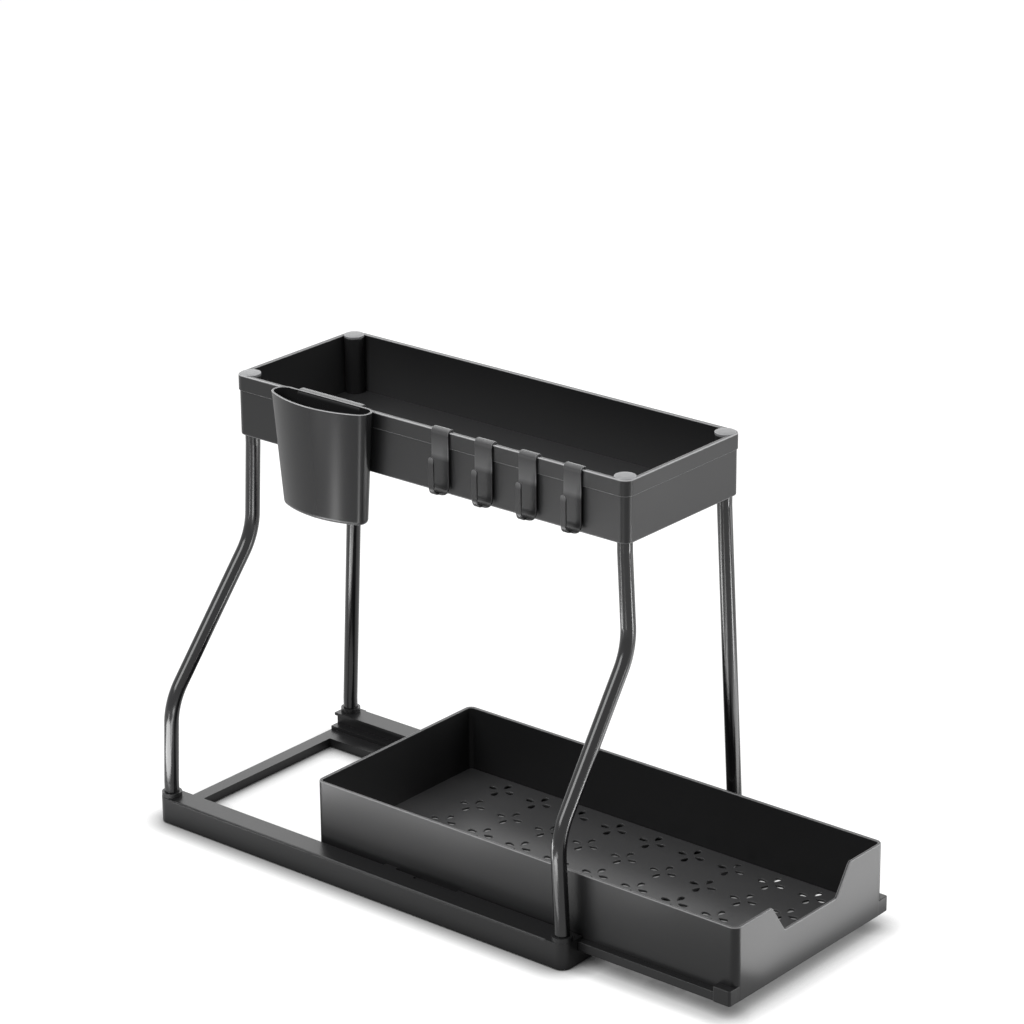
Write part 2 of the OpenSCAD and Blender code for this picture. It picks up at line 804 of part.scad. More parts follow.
// Hook number k from 0, counted from the middle of the rim towards the front
module hook(k) {
    strap_h = hook_drop - curl_r;
    top = hang_gap + hook_t;
    clip = rim_t + 2 * hang_gap;
    tongue_top = -hook_drop + tongue_h;
    color(black)
        translate([tray_left_x - hang_gap, -hook_first - k * hook_pitch, rim_z])
            rotate([90, 0, 180]) {
                translate([0, top, 0])
                    rotate([0, 90, 0])
                        linear_extrude(hook_t)
                            strap_face(strap_h + top);
                linear_extrude(hook_wid, center = true) {
                    translate([-clip - hook_t, hang_gap]) square([clip + 1.5 * hook_t, hook_t]);
                    translate([-clip - hook_t, -hook_lip]) square([hook_t, hook_lip + top]);
                }
                linear_extrude(tongue_wid, center = true) {
                    translate([curl_r, -strap_h + eps]) hook_curl();
                    translate([2 * curl_r - hook_t, -strap_h])
                        square([hook_t, tongue_top + strap_h - hook_t / 2]);
                    translate([2 * curl_r - hook_t / 2, tongue_top - hook_t / 2])
                        circle(d = hook_t);
                }
            }
}

// Moves the base-centred model so that its whole outline is centred on the origin
module placed() {
    translate([-centre_x, -centre_y, 0]) children();
}

placed() base_frame();
placed() left_leg(-1);  // left_front_leg
placed() left_leg(1);  // left_rear_leg
placed() right_leg(-1);  // right_front_leg
placed() right_leg(1);  // right_rear_leg
placed() leg_base_plugs();
placed() leg_top_plugs();
placed() base_screws();
placed() tray_screws();
placed() foot_at(-1, -1);  // left_front_foot
placed() foot_at(-1, 1);  // left_rear_foot
placed() foot_at(1, -1);  // right_front_foot
placed() foot_at(1, 1);  // right_rear_foot
placed() drawer();
placed() upper_tray();
placed() cap_at(post_left_x, -1);  // left_front_cap
placed() cap_at(post_left_x, 1);  // left_rear_cap
placed() cap_at(leg_x, -1);  // right_front_cap
placed() cap_at(leg_x, 1);  // right_rear_cap
placed() cup();
placed() hook(0);  // hook_1
placed() hook(1);  // hook_2
placed() hook(2);  // hook_3
placed() hook(3);  // hook_4
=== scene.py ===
import math

import bmesh
import bpy
import numpy as np
from mathutils import Matrix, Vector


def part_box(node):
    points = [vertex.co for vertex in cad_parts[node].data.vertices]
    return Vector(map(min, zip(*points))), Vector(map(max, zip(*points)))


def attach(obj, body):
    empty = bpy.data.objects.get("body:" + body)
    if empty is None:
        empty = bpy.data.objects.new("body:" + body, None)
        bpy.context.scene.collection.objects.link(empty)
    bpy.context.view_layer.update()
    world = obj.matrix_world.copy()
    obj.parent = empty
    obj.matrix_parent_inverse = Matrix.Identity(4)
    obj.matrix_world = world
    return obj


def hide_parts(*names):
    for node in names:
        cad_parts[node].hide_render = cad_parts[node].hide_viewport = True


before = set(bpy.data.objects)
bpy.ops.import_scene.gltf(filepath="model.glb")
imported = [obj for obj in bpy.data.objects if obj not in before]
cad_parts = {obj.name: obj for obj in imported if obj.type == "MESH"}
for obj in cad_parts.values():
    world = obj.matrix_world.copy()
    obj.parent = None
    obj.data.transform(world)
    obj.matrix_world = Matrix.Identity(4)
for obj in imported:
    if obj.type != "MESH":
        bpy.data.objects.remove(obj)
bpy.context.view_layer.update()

# The studio: a plain white floor that runs out of sight, white surroundings and soft lamps.
# The camera stands left of the front and looks down on the organizer through a long lens,
# as the photograph does.
CAMERA_AZIMUTH = math.radians(-50.079)
CAMERA_ELEVATION = math.radians(20.896)
CAMERA_ROLL = math.radians(-0.507)
CAMERA_DISTANCE = 3.2218
CAMERA_TARGET = np.array([0.27293, 0.23198, 0.150])
CAMERA_LENS = 137.13
FAR_END = 60.0
FLOOR_HALF = 12.0
FLOOR_GREY = 0.22
FLOOR_LIFT = 0.88
SHADE_REACH = 0.02
SHADE_DEPTH = 3.0
WORLD_LIGHT = 0.30
FULL_WHITE = 1.0
SEEN_DIRECTLY = ("Is Camera Ray", "Is Glossy Ray", "Is Transmission Ray")


def turned(azimuth, elevation, roll=0.0):
    """Axes of a camera: right and up lie in its picture, and back points from the target to it."""
    back = np.array([math.sin(azimuth) * math.cos(elevation),
                     -math.cos(azimuth) * math.cos(elevation), math.sin(elevation)])
    right = np.array([math.cos(azimuth), math.sin(azimuth), 0.0])
    up = np.cross(back, right)
    return (math.cos(roll) * right + math.sin(roll) * up,
            math.cos(roll) * up - math.sin(roll) * right, back)


def placed_at(right, up, back, place):
    """Matrix of an object whose own axes are right, up and back, at that place."""
    return Matrix([[right[i], up[i], back[i], place[i]] for i in range(3)] + [[0, 0, 0, 1]])


def facing_origin(azimuth, elevation, distance):
    """Matrix of a lamp that faces the origin from these angles, in degrees, and that distance."""
    right, up, back = turned(math.radians(azimuth), math.radians(elevation))
    return placed_at(right, up, back, distance * back)


camera = bpy.data.objects.new("camera", bpy.data.cameras.new("camera"))
bpy.context.scene.collection.objects.link(camera)
axes = turned(CAMERA_AZIMUTH, CAMERA_ELEVATION, CAMERA_ROLL)
camera.matrix_world = placed_at(*axes, CAMERA_TARGET + CAMERA_DISTANCE * axes[2])
camera.data.lens = CAMERA_LENS
camera.data.clip_end = FAR_END
bpy.context.scene.camera = camera
bpy.context.scene.view_settings.view_transform = "Standard"

# Name, azimuth, elevation, distance, width, height and radiance
LAMPS = [("left", -106, 46, 2.6, 1.3, 1.7, 7),
         ("right_strip", 18, 22, 2.8, 0.35, 2.0, 10),
         ("front_right", 55, 20, 2.8, 1.8, 1.8, 3.5),
         ("rear", 178, 50, 2.6, 2.4, 0.8, 4),
         ("rear_right", 130, 21, 2.6, 2.2, 1.3, 1.5),
         ("top", -40, 82, 2.4, 2.0, 2.0, 0.6)]
# Name, middle in x and y, length in x and y, and radiance of the panels that lie on the floor
PANELS = [("rear_leg_near", -0.26, 0.29, 0.16, 0.18, 13),
          ("rear_leg_far", -0.52, 0.275, 0.36, 0.07, 10),
          ("front_leg_near", -0.345, -0.11, 0.15, 0.16, 10),
          ("front_leg_far", -0.515, -0.23, 0.27, 0.16, 5),
          ("drawer_rear", -0.235, 0.12, 0.09, 0.15, 7),
          ("drawer_front", -0.235, -0.04, 0.09, 0.17, 3.5),
          ("cup_panel", -0.82, 0.54, 0.20, 0.18, 4),
          ("front_near", 0.21, -0.44, 0.48, 0.29, 4.2),
          ("front_far", 0.81, -0.81, 0.38, 0.38, 3.5),
          ("front_strip", 0.235, -0.77, 0.15, 0.36, 18)]
PANEL_Z = 0.001
lights = [(name, wide, high, radiance, facing_origin(azimuth, elevation, distance))
          for name, azimuth, elevation, distance, wide, high, radiance in LAMPS]
lights += [(name, wide, high, radiance,
            placed_at((1, 0, 0), (0, -1, 0), (0, 0, -1), (x, y, PANEL_Z)))
           for name, x, y, wide, high, radiance in PANELS]
for name, wide, high, radiance, place in lights:
    lamp = bpy.data.objects.new("lamp_" + name, bpy.data.lights.new("lamp_" + name, "AREA"))
    lamp.data.shape = "RECTANGLE"
    lamp.data.size = wide
    lamp.data.size_y = high
    lamp.data.energy = math.pi * wide * high * radiance
    lamp.matrix_world = place
    bpy.context.scene.collection.objects.link(lamp)


def seen_share(tree):
    """Socket that is 1 where a ray from the camera, a reflection or a transmission ends."""
    path = tree.nodes.new("ShaderNodeLightPath")
    share = path.outputs[SEEN_DIRECTLY[0]]
    for name in SEEN_DIRECTLY[1:]:
        either = tree.nodes.new("ShaderNodeMath")
        either.operation = "MAXIMUM"
        tree.links.new(share, either.inputs[0])
        tree.links.new(path.outputs[name], either.inputs[1])
        share = either.outputs[0]
    return share


world = bpy.data.worlds.new("white_surroundings")
bpy.context.scene.world = world
world.use_nodes = True
tree = world.node_tree
tree.nodes.clear()
soft_light = tree.nodes.new("ShaderNodeBackground")
soft_light.inputs["Strength"].default_value = WORLD_LIGHT
white = tree.nodes.new("ShaderNodeBackground")
white.inputs["Strength"].default_value = FULL_WHITE
for background in (soft_light, white):
    background.inputs["Color"].default_value = (1, 1, 1, 1)
either_light = tree.nodes.new("ShaderNodeMixShader")
world_out = tree.nodes.new("ShaderNodeOutputWorld")
tree.links.new(seen_share(tree), either_light.inputs[0])
tree.links.new(soft_light.outputs[0], either_light.inputs[1])
tree.links.new(white.outputs[0], either_light.inputs[2])
tree.links.new(either_light.outputs[0], world_out.inputs[0])

floor_mesh = bpy.data.meshes.new("floor")
floor_mesh.from_pydata([(-FLOOR_HALF, -FLOOR_HALF, 0), (FLOOR_HALF, -FLOOR_HALF, 0),
                        (FLOOR_HALF, FLOOR_HALF, 0), (-FLOOR_HALF, FLOOR_HALF, 0)],
                       [], [(0, 1, 2, 3)])
floor = bpy.data.objects.new("floor", floor_mesh)
bpy.context.scene.collection.objects.link(floor)
floor_finish = bpy.data.materials.new("white_floor")
floor_finish.use_nodes = True
tree = floor_finish.node_tree
tree.nodes.clear()
paint = tree.nodes.new("ShaderNodeBsdfDiffuse")
paint.inputs["Color"].default_value = (FLOOR_GREY, FLOOR_GREY, FLOOR_GREY, 1)
lift = tree.nodes.new("ShaderNodeEmission")
lift.inputs["Color"].default_value = (1, 1, 1, 1)
both = tree.nodes.new("ShaderNodeAddShader")
floor_out = tree.nodes.new("ShaderNodeOutputMaterial")
# A painted shadow: the floor's own white fades where the object stands close over it, as its shadow
# would
open_sky = tree.nodes.new("ShaderNodeAmbientOcclusion")
open_sky.inputs["Distance"].default_value = SHADE_REACH
deepened = tree.nodes.new("ShaderNodeMath")
deepened.operation = "POWER"
deepened.inputs[1].default_value = SHADE_DEPTH
tree.links.new(open_sky.outputs["AO"], deepened.inputs[0])
shown = tree.nodes.new("ShaderNodeMath")
shown.operation = "MULTIPLY"
tree.links.new(seen_share(tree), shown.inputs[0])
tree.links.new(deepened.outputs[0], shown.inputs[1])
strength = tree.nodes.new("ShaderNodeMath")
strength.operation = "MULTIPLY"
strength.inputs[1].default_value = FLOOR_LIFT
tree.links.new(shown.outputs[0], strength.inputs[0])
tree.links.new(strength.outputs[0], lift.inputs["Strength"])
tree.links.new(paint.outputs[0], both.inputs[0])
tree.links.new(lift.outputs[0], both.inputs[1])
tree.links.new(both.outputs[0], floor_out.inputs[0])
floor.data.materials.append(floor_finish)

# The base frame: one black moulding with two channelled side rails, cross bars and square leg
# sockets. The piece is the CAD moulding with its edges rounded, in a satin black plastic whose
# rounded edges carry a painted highlight, a lighter colour in place of the light they catch.
BLACK = (0.010, 0.010, 0.0104)
# Painted highlight: the lighter grey that marked edges take, in place of the light they catch
EDGE_HIGHLIGHT_GREY = (0.36, 0.36, 0.365)
BLACK_GLOSS = 0.25
SHARP_ANGLE = math.radians(50)
BASE_EDGE_R = 0.0005
BASE_EDGE_HIGHLIGHT = 0.2
MERGE = 1e-6
FLAT_ANGLE = math.radians(1)
FLAT_WEIGHT = 100
SATIN = 0.31
FINE_GRAIN = 0.06
ROUGH_DRIFT = (-0.06, 0.08)
DRIFT_SCALE = 9.0
SPECK_SCALE = 1400.0
SPECK_HEIGHT = 0.0002


def add_node(tree, kind, **sockets):
    """A new node with these values on its sockets."""
    node = tree.nodes.new(kind)
    for name, value in sockets.items():
        node.inputs[name.replace("_", " ").title()].default_value = value
    return node


def new_material(name):
    """A material, its node tree and the shader in it."""
    material = bpy.data.materials.new(name)
    material.use_nodes = True
    return material, material.node_tree, material.node_tree.nodes["Principled BSDF"]


def noise(tree, scale, detail):
    """Socket with noise in the object's own coordinates."""
    node = add_node(tree, "ShaderNodeTexNoise", scale=scale, detail=detail)
    place = tree.nodes.new("ShaderNodeTexCoord")
    tree.links.new(place.outputs["Object"], node.inputs["Vector"])
    return node.outputs["Fac"]


def vary_roughness(tree, shader, drift, least, most):
    """The shader's roughness follows the drift between these two values."""
    gloss = add_node(tree, "ShaderNodeMapRange", to_min=least, to_max=most)
    tree.links.new(drift, gloss.inputs["Value"])
    tree.links.new(gloss.outputs[0], shader.inputs["Roughness"])


def raise_surface(tree, shader, height, strength, distance):
    """The shader's normals follow the slopes of this height."""
    bump = add_node(tree, "ShaderNodeBump", strength=strength, distance=distance)
    tree.links.new(height, bump.inputs["Height"])
    tree.links.new(bump.outputs[0], shader.inputs["Normal"])


def moulded_plastic(name, colour, highlight_colour, rough, grain=FINE_GRAIN, gloss_level=BLACK_GLOSS):
    """Plastic from a spark-etched mould: a fine grain in its normals, a slow drift of its
    roughness, and a painted highlight: a lighter colour where the mesh marks it with edge, which
    stands in for the light that rounded edges catch."""
    material, tree, shader = new_material(name)
    shader.inputs["Specular IOR Level"].default_value = gloss_level
    vary_roughness(tree, shader, noise(tree, DRIFT_SCALE, 3.0), rough + ROUGH_DRIFT[0],
                   rough + ROUGH_DRIFT[1])
    raise_surface(tree, shader, noise(tree, SPECK_SCALE, 2.0), grain, SPECK_HEIGHT)
    painted_highlight = tree.nodes.new("ShaderNodeAttribute")
    painted_highlight.attribute_name = "edge"
    tone = tree.nodes.new("ShaderNodeMix")
    tone.data_type = "RGBA"
    tone.inputs["A"].default_value = (*colour, 1)
    tone.inputs["B"].default_value = (*highlight_colour, 1)
    tree.links.new(painted_highlight.outputs["Fac"], tone.inputs["Factor"])
    tree.links.new(tone.outputs["Result"], shader.inputs["Base Color"])
    return material


def finish_piece(piece, material, body, slot, *nodes):
    """Smooth shading that keeps flats flat, its material, and the node that it stands for."""
    piece.data.shade_smooth()
    piece.data.set_sharp_from_angle(angle=SHARP_ANGLE)
    weighted = piece.modifiers.new("even_flats", "WEIGHTED_NORMAL")
    weighted.keep_sharp = True
    weighted.weight = FLAT_WEIGHT
    piece.data.materials.append(material)
    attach(piece, body)
    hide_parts(*nodes)


black_plastic = moulded_plastic("satin_black_plastic", BLACK, EDGE_HIGHLIGHT_GREY, SATIN)

base_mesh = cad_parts["base_frame"].data.copy()
base_mesh.materials.clear()
work = bmesh.new()
work.from_mesh(base_mesh)
bmesh.ops.remove_doubles(work, verts=work.verts, dist=MERGE)
bmesh.ops.dissolve_limit(work, angle_limit=FLAT_ANGLE, verts=work.verts, edges=work.edges)
highlight_layer = work.faces.layers.float.new("edge")
sharp = [edge for edge in work.edges if edge.calc_face_angle(0) > SHARP_ANGLE]
rounds = bmesh.ops.bevel(work, geom=sharp, offset=BASE_EDGE_R, offset_type="OFFSET", segments=2,
                         profile=0.5, affect="EDGES", clamp_overlap=True)["faces"]
# The rounds take the painted highlight
for face in rounds:
    face[highlight_layer] = BASE_EDGE_HIGHLIGHT
work.to_mesh(base_mesh)
work.free()
base = bpy.data.objects.new("base_moulding", base_mesh)
bpy.context.scene.collection.objects.link(base)
finish_piece(base, black_plastic, "rack", "black_plastic", "base_frame")

# The legs: steel tubes under a glossy black coat, bent on a mandrel. Those on the hanging side
# step back in two wide bends, and all four lean in a little between a slight bend at each end.
TUBE_COAT = (0.004, 0.004, 0.0045)
TUBE_GLOSS = 0.45
TUBE_R = 0.00575
SOCKET_BEND_Z = 0.033
TRAY_BEND_Z = 0.2884
LOWER_BEND_Z = 0.1003
UPPER_BEND_Z = 0.2148
WIDE_BEND_R = 0.050
SLIGHT_BEND_R = 0.030
BEND_STEPS = 14
TUBE_SIDES = 40
COAT_ROUGH = (0.13, 0.19)
RIPPLE_SCALE = 260.0
COAT_DRIFT_SCALE = 20.0
RIPPLE_STRENGTH = 0.03
RIPPLE_HEIGHT = 0.0003


def unit(v):
    """The vector divided by its own length."""
    return v / np.linalg.norm(v)


def bent_line(corners, radii):
    """Line through the corners, each rounded by an arc of its radius that touches both sides."""
    line = [corners[0]]
    for before, here, after, r in zip(corners, corners[1:], corners[2:], radii):
        to_before = unit(before - here)
        to_after = unit(after - here)
        half = math.acos(np.clip(to_before @ to_after, -1, 1)) / 2
        middle = here + unit(to_before + to_after) * r / math.sin(half)
        first = here + to_before * r / math.tan(half) - middle
        way = -to_before
        sweep = np.linspace(0, math.pi - 2 * half, BEND_STEPS + 1)[:, None]
        line.extend(middle + first * np.cos(sweep) + way * r * np.sin(sweep))
    line.append(corners[-1])
    return np.array(line)


def grid_faces(rows, cols, close_rows=False, close_cols=True):
    """Quads of a grid of rows by cols points, closed round its columns or rows if asked."""
    index = np.arange(rows * cols).reshape(rows, cols)
    if close_cols:
        index = np.hstack([index, index[:, :1]])
    if close_rows:
        index = np.vstack([index, index[:1]])
    return np.stack([index[:-1, :-1], index[:-1, 1:], index[1:, 1:], index[1:, :-1]],
                    axis=-1).reshape(-1, 4)


def new_piece(name, *shells):
    """One object from shells, each a grid of points, its quads and its marks of painted highlight.
    Points that coincide are merged, so seams and poles close, and faces turn outwards."""
    points = np.concatenate([shell[0].reshape(-1, 3) for shell in shells])
    starts = np.cumsum([0] + [shell[0].size // 3 for shell in shells])
    quads = np.concatenate([shell[1] + start for shell, start in zip(shells, starts)])
    marks = np.concatenate([np.broadcast_to(shell[2], shell[0].shape[:-1]).reshape(-1)
                            for shell in shells])
    mesh = bpy.data.meshes.new(name)
    mesh.from_pydata(points.tolist(), [], quads.tolist())
    mesh.attributes.new("edge", "FLOAT", "POINT").data.foreach_set("value", marks)
    work = bmesh.new()
    work.from_mesh(mesh)
    bmesh.ops.remove_doubles(work, verts=work.verts, dist=MERGE)
    bmesh.ops.recalc_face_normals(work, faces=work.faces)
    work.to_mesh(mesh)
    work.free()
    piece = bpy.data.objects.new(name, mesh)
    bpy.context.scene.collection.objects.link(piece)
    return piece


def tube(line, radius):
    """Ring of radius r carried along a line: point(s, t) = line(s) + r (cos t a + sin t b), where
    a and b stay square to the line. Both ends close on a pole."""
    way = np.gradient(line, axis=0)
    way /= np.linalg.norm(way, axis=1, keepdims=True)
    a = np.cross(way, [0.0, 1.0, 0.0])
    a /= np.linalg.norm(a, axis=1, keepdims=True)
    b = np.cross(way, a)
    t = np.linspace(0, 2 * math.pi, TUBE_SIDES, endpoint=False)[:, None]
    ring = line[:, None] + radius * (np.cos(t) * a[:, None] + np.sin(t) * b[:, None])
    ends = np.broadcast_to(line[[0, -1], None], (2, TUBE_SIDES, 3))
    points = np.concatenate([ends[:1], ring, ends[1:]])
    return points, grid_faces(*points.shape[:2]), np.zeros(1, np.float32)


def glossy_coat(name, colour):
    """Baked gloss coat: nearly mirror smooth, with the slow ripple of sprayed paint."""
    material, tree, shader = new_material(name)
    shader.inputs["Base Color"].default_value = (*colour, 1)
    shader.inputs["Specular IOR Level"].default_value = TUBE_GLOSS
    vary_roughness(tree, shader, noise(tree, COAT_DRIFT_SCALE, 2.0), *COAT_ROUGH)
    raise_surface(tree, shader, noise(tree, RIPPLE_SCALE, 1.0), RIPPLE_STRENGTH, RIPPLE_HEIGHT)
    return material


black_coat = glossy_coat("gloss_black_coat", TUBE_COAT)
for side in ("left", "right"):
    for end, sign in (("front", -1), ("rear", 1)):
        node = f"{side}_{end}_leg"
        low, high = (np.array(corner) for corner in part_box(node))
        foot_y = high[1] - TUBE_R if sign > 0 else low[1] + TUBE_R
        head_y = low[1] + TUBE_R if sign > 0 else high[1] - TUBE_R
        foot_x = low[0] + TUBE_R
        head_x = high[0] - TUBE_R
        heights = [low[2], SOCKET_BEND_Z, TRAY_BEND_Z, high[2]]
        if side == "left":
            heights[2:2] = [LOWER_BEND_Z, UPPER_BEND_Z]
        z = np.array(heights)
        y = np.interp(z, [SOCKET_BEND_Z, TRAY_BEND_Z], [foot_y, head_y])
        x = np.interp(z, [LOWER_BEND_Z, UPPER_BEND_Z], [foot_x, head_x])
        radii = [SLIGHT_BEND_R, WIDE_BEND_R, WIDE_BEND_R, SLIGHT_BEND_R]
        line = bent_line(np.stack([x, y, z], axis=1), radii[:2] if len(z) == 4 else radii)
        leg = new_piece(f"{side}_{end}_tube", tube(line, TUBE_R))
        finish_piece(leg, black_coat, "rack", "black_tube", node)

# The drawer: one black plastic moulding with thin walls, a floor pierced by four-petal drain
# flowers, a hand cut-out in the front wall, and a runner along each foot, which slides in the base
# frame's rail and ends in a block at the front. Rim, cut-out and petals have small round edges.
WALL = 0.0024
DRAWER_CORNER_R = 0.006
DRAWER_SIDE = 0.0893
RIM_R = 0.0009
# Painted highlight: a lighter colour on the drawer rim's rounds, in place of the light they catch
RIM_HIGHLIGHT = 0.5
WALL_FOOT_R = 0.0004
LAP = 0.001
LAP_R = 0.0002
LAP_EDGE_R = 0.0001
# Where two shells would share a plane, one is set back a little
SET_BACK = 0.00005
ROOT = 0.001
GRIP_TOP = 0.094
GRIP_BOTTOM = 0.063
GRIP_DEPTH = 0.023
GRIP_R = 0.003
PLATE_UNDER = 0.0037
PLATE_T = 0.0020
RUNNER_H = 0.0072
RUNNER_OUT = 0.0058
# The rounds of a block are the radii of its upright corners and of its other edges
RUNNER_ROUNDS = (0.0006, 0.0005)
BLOCK_L = 0.0155
BLOCK_H = 0.012
BLOCK_R = 0.0019
BLOCK_EDGE_R = 0.0006
INFILL_IN = 0.009
INFILL_ROUNDS = (0.0002, 0.0005)
LUG_H = 0.0022
LUG_L = 0.012
LUG_OUT = 0.0029
LUG_ROUNDS = (0.0005, 0.0004)
LUG_BEHIND_FRONT = 0.3119
RIB_HALF = 0.0008
RIB_UNDER = 0.0003
RIB_ROUNDS = (0.0003, 0.0002)
FLOWER_PITCH = np.array([0.0345, 0.037])
FLOWER_ROWS = 5
FLOWER_COLS = 9
PETAL_MIDDLE = 0.0076
PETAL_HALF = 0.0040
PETAL_W = 0.0021
PETAL_SWELL = 0.45
PETAL_LIP = 0.0003
LIP_DEPTHS = np.array([0.0, 0.3, 1.0])
# Painted highlight: a lighter colour on the rounded lips of the petal holes
PETAL_LIP_HIGHLIGHT = 0.14
# Painted light: the drawer's floor plate is coloured lighter than its walls, in place of the light
# it catches
FLOOR_PAINTED_LIGHT = 0.10
CELL_STEPS = 10
ARC_STEPS = 5
CORNER_POINTS = 2 * ARC_STEPS + 1


def rounded(corners, closed=False):
    """Line through corners (u, v, r) or (u, v, r, mark), each turned into an arc of radius r.
    The mark, the strength of a painted highlight, rises as a half sine from 0 to the corner's own
    mark and back over its arc."""
    line, marks = [], []
    for i, (u, v, r, *mark) in enumerate(corners):
        here = np.array([u, v], float)
        if r == 0 or (not closed and i in (0, len(corners) - 1)):
            line.append(here[None])
            marks.append(np.zeros(1))
            continue
        to_before = unit(np.array(corners[i - 1][:2]) - here)
        to_after = unit(np.array(corners[(i + 1) % len(corners)][:2]) - here)
        half = math.acos(np.clip(to_before @ to_after, -1, 1)) / 2
        middle = here + unit(to_before + to_after) * r / math.sin(half)
        first = here + to_before * r / math.tan(half) - middle
        sweep = np.linspace(0, math.pi - 2 * half, ARC_STEPS + 1)[:, None]
        line.append(middle + first * np.cos(sweep) - to_before * r * np.sin(sweep))
        rise = np.sin(math.pi * np.linspace(0, 1, ARC_STEPS + 1))
        marks.append(rise * (mark[0] if mark else 0))
    return np.concatenate(line), np.concatenate(marks)


def rounded_plan(half_x, half_y, r, front=()):
    """Plan of a rounded rectangle, anticlockwise: its points and their outward normals. front
    adds points along the side that faces -Y."""
    points, normals = [], []
    for k, (sx, sy) in enumerate([(1, 1), (-1, 1), (-1, -1), (1, -1)]):
        angle = np.linspace(0, math.pi / 2, CORNER_POINTS) + k * math.pi / 2
        normal = np.stack([np.cos(angle), np.sin(angle)], axis=1)
        points.append([sx * (half_x - r), sy * (half_y - r)] + r * normal)
        normals.append(normal)
        if k == 2 and len(front):
            points.append(np.stack([front, np.full(len(front), -half_y)], axis=1))
            normals.append(np.tile([0.0, -1.0], (len(front), 1)))
    return np.concatenate(points), np.concatenate(normals)


def moulding(plan, profile, marks, centre, closed=False, drawn_in=1.0):
    """Profile of (inset, height) carried round a plan: point = (plan - inset x normal) x drawn_in,
    at height, where drawn_in is a share for each row. An open profile closes at both of its ends
    over the plan's spine, which is the line that stays when its short side shrinks to nothing."""
    points, normals = plan
    grid = np.empty((len(profile), len(points), 3))
    grid[..., :2] = (points - profile[:, :1, None] * normals) * drawn_in + centre
    grid[..., 2] = profile[:, 1:]
    if not closed:
        ends = grid[[0, -1]]
        middle = (ends.min(axis=1, keepdims=True) + ends.max(axis=1, keepdims=True)) / 2
        half = (ends.max(axis=1, keepdims=True) - middle)[..., :2]
        spine = half - half.min(axis=-1, keepdims=True)
        ends[..., :2] = np.clip(ends[..., :2], middle[..., :2] - spine, middle[..., :2] + spine)
        grid = np.concatenate([ends[:1], grid, ends[1:]])
        marks = np.concatenate([marks[:1], marks, marks[-1:]])
    marks = np.broadcast_to(marks[:, None], grid.shape[:2])
    return grid, grid_faces(*grid.shape[:2], close_rows=closed), marks


def block(low, high, r, edge_r):
    """Box with upright corners of radius r, and top and bottom edges of radius edge_r."""
    low, high = np.array(low), np.array(high)
    half = (high - low) / 2
    corners = [(r, low[2], 0), (0, low[2], edge_r), (0, high[2], edge_r), (r, high[2], 0)]
    return moulding(rounded_plan(half[0], half[1], r), *rounded(corners), (low + high)[:2] / 2)


def petal_cells(pitch, count, z_top):
    """Floor plate tiled by count[0] x count[1] cells, each with four petal holes. Every petal lies
    in a triangle from the cell's centre to one of its sides. Grid rows run from the triangle over
    the petal's rounded lip, down its wall and back under the plate. The petal is an egg:
    (a cos t, b sin t (1 + s cos t)), so its outer end is the broad one."""
    share = np.arange(CELL_STEPS) / CELL_STEPS
    lip = 1 - np.sqrt(1 - (1 - LIP_DEPTHS) ** 2)
    shells = []
    for turn in range(4):
        c, s = round(math.cos(turn * math.pi / 2)), round(math.sin(turn * math.pi / 2))
        reach = pitch / 2 if turn % 2 == 0 else pitch[::-1] / 2
        corners = np.array([[0, 0], reach * [1, -1], reach])
        sides = [corners[i] + share[:, None] * (corners[(i + 1) % 3] - corners[i])
                 for i in range(3)]
        border = np.concatenate(sides)
        t = np.arctan2(border[:, 1], border[:, 0] - PETAL_MIDDLE)

        def egg(grow):
            """The petal's outline, grown on all sides."""
            return np.stack([PETAL_MIDDLE + (PETAL_HALF + grow) * np.cos(t),
                             (PETAL_W + grow) * np.sin(t) * (1 + PETAL_SWELL * np.cos(t))], axis=1)

        rows = [border] + [egg(PETAL_LIP * x) for x in lip] + [egg(0), egg(PETAL_LIP), border]
        drop = np.array([0, *PETAL_LIP * LIP_DEPTHS, PLATE_T - PETAL_LIP, PLATE_T, PLATE_T])
        u, v = np.moveaxis(np.stack(rows), -1, 0)
        flat = np.stack([c * u - s * v, s * u + c * v], axis=-1)
        heights = np.broadcast_to(z_top - drop[:, None, None], (*u.shape, 1))
        # Painted light on the plate and a painted highlight on the petal lips; the petal walls and
        # the underside stay plain black
        marks = np.full(u.shape, FLOOR_PAINTED_LIGHT)
        marks[2:4] = PETAL_LIP_HIGHLIGHT
        marks[4:] = 0
        across = (np.arange(count[0]) - (count[0] - 1) / 2) * pitch[0]
        along = (np.arange(count[1]) - (count[1] - 1) / 2) * pitch[1]
        for x in across:
            for y in along:
                grid = np.concatenate([flat + [x, y], heights], axis=-1)
                shells.append((grid, grid_faces(*u.shape), marks))
    return shells


low, high = (np.array(corner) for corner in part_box("drawer"))
centre = (low + high)[:2] / 2
half_y = (high - low)[1] / 2
top, under = high[2], low[2]
# The cut-out across the front, where the first and the last point only lead into its arcs
cut = rounded([(-GRIP_TOP, 0, 0), (-GRIP_TOP / 2, 0, GRIP_R),
               (-GRIP_BOTTOM / 2, -GRIP_DEPTH, GRIP_R), (GRIP_BOTTOM / 2, -GRIP_DEPTH, GRIP_R),
               (GRIP_TOP / 2, 0, GRIP_R), (GRIP_TOP, 0, 0)])[0][1:-1]
plan = rounded_plan(DRAWER_SIDE, half_y, DRAWER_CORNER_R, front=cut[:, 0])
plate_top = under + PLATE_UNDER + PLATE_T
